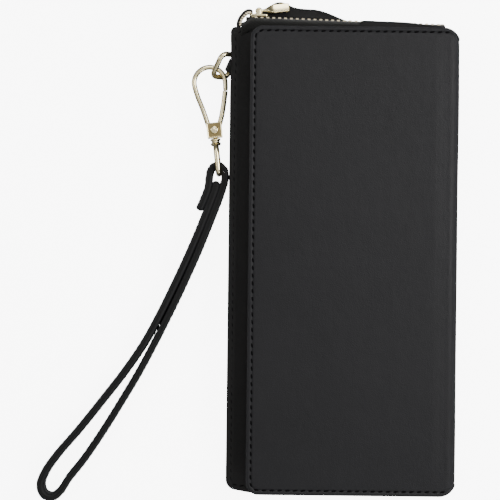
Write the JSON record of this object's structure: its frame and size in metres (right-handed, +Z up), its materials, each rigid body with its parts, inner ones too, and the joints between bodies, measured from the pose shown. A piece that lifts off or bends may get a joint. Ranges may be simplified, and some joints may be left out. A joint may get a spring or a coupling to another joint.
{
  "type": "wristlet wallet",
  "caption": "Long bifold leather wallet with stepped card pages, a zipped pocket along one end and a narrow wrist strap clipped to a ring.",
  "frame": {"origin": "middle of the wallet's flat back face, on the surface it lies on", "axes": "+Z up through the thickness from the back face to the flap, +Y along the length towards the zipped end, +X from the free side with the wrist strap to the spine"},
  "size_m": [0.1793, 0.2176, 0.0231],
  "materials": {
    "cover_leather": "smooth black leather with a soft sheen, folded edges and a row of stitching",
    "pocket_leather": "smooth black leather, a little duller than the cover",
    "card_leather": "thin smooth black leather with turned edges",
    "strap_leather": "black leather band of two layers, sewn near its edges",
    "lining_fabric": "black twill lining",
    "gusset_fabric": "black coated fabric",
    "zip_tape": "black woven herringbone tape",
    "zip_metal": "pale gold plated teeth, polished on the crowns",
    "gold_hardware": "polished pale gold plate",
    "snap_metal": "satin pale gold plate"
  },
  "bodies": {
    "body": {"back_panel": "cover_leather", "pocket_front_wall": "pocket_leather", "pocket_gusset": "gusset_fabric", "pocket_rear_lining": "lining_fabric", "pocket_front_lining": "lining_fabric", "rear_card_panel_1": "card_leather", "rear_card_panel_2": "card_leather", "rear_card_panel_3": "card_leather", "rear_card_panel_4": "card_leather", "snap_socket": "snap_metal", "zip_tape_front": "zip_tape", "zip_tape_rear": "zip_tape", "zip_teeth_front": "zip_metal", "zip_teeth_rear": "zip_metal", "zip_rear_band": "pocket_leather", "zip_bottom_stop": "zip_metal", "zip_tail": "zip_tape", "ring_tab": "strap_leather"},
    "spine": {"spine_panel": "cover_leather", "spine_lining": "lining_fabric"},
    "flap": {"flap_panel": "cover_leather", "flap_lining": "lining_fabric", "flap_card_panel_1": "card_leather", "flap_card_panel_2": "card_leather", "flap_card_panel_3": "card_leather", "flap_card_panel_4": "card_leather", "snap_stud": "snap_metal"},
    "slider": {"zip_slider": "zip_metal"},
    "pull": {"zip_pull": "gold_hardware"},
    "ring": {"d_ring": "gold_hardware"},
    "hook": {"hook_frame": "gold_hardware", "hook_rivet": "gold_hardware"},
    "gate": {"hook_gate": "gold_hardware"},
    "eye": {"hook_eye": "gold_hardware"},
    "strap": {"wrist_strap": "strap_leather"}
  },
  "joints": [
    {"name": "spine_fold", "type": "hinge", "parent": "body", "child": "spine", "pos_m": [0.04783, 0, 0.00117], "axis": [0, 1, 0], "range_deg": [0, 90]},
    {"name": "flap_fold", "type": "hinge", "parent": "spine", "child": "flap", "pos_m": [0.04783, 0, 0.02193], "axis": [0, 1, 0], "range_deg": [0, 90]},
    {"name": "zip_slide", "type": "slide", "parent": "body", "child": "slider", "axis": [0.9996, -0.03, 0], "range_m": [0, 0.073]},
    {"name": "pull_pivot", "type": "hinge", "parent": "slider", "child": "pull", "pos_m": [-0.03688, 0.10805, 0.01041], "axis": [-0.0127, -0.4224, 0.9063], "range_deg": [0, 150]},
    {"name": "ring_pivot", "type": "hinge", "parent": "body", "child": "ring", "pos_m": [-0.04833, 0.084, 0.00568], "axis": [0.3825, 0.8053, 0.453], "range_deg": [-45, 1]},
    {"name": "hook_pivot", "type": "hinge", "parent": "ring", "child": "hook", "pos_m": [-0.0555, 0.0809, 0.00755], "axis": [-0.27, 0.57, 0.776], "range_deg": [-40, 0]},
    {"name": "gate_pivot", "type": "hinge", "parent": "hook", "child": "gate", "pos_m": [-0.0556, 0.05613, 0.00755], "axis": [0, 0, 1], "range_deg": [0, 28], "stiffness_Nm_per_rad": 0.02, "springref_deg": -11.46},
    {"name": "swivel_spin", "type": "hinge", "parent": "hook", "child": "eye", "pos_m": [-0.05518, 0.05235, 0.00755], "axis": [0.1115, -0.9938, 0], "range_deg": [-28, 28]},
    {"name": "strap_pivot", "type": "hinge", "parent": "eye", "child": "strap", "pos_m": [-0.05349, 0.03725, 0.00755], "axis": [0, 0, 1], "range_deg": [-60, 4]}
  ],
  "couplings": [
    {"joint": "flap_fold", "follows": "spine_fold", "ratio": 1}
  ]
}
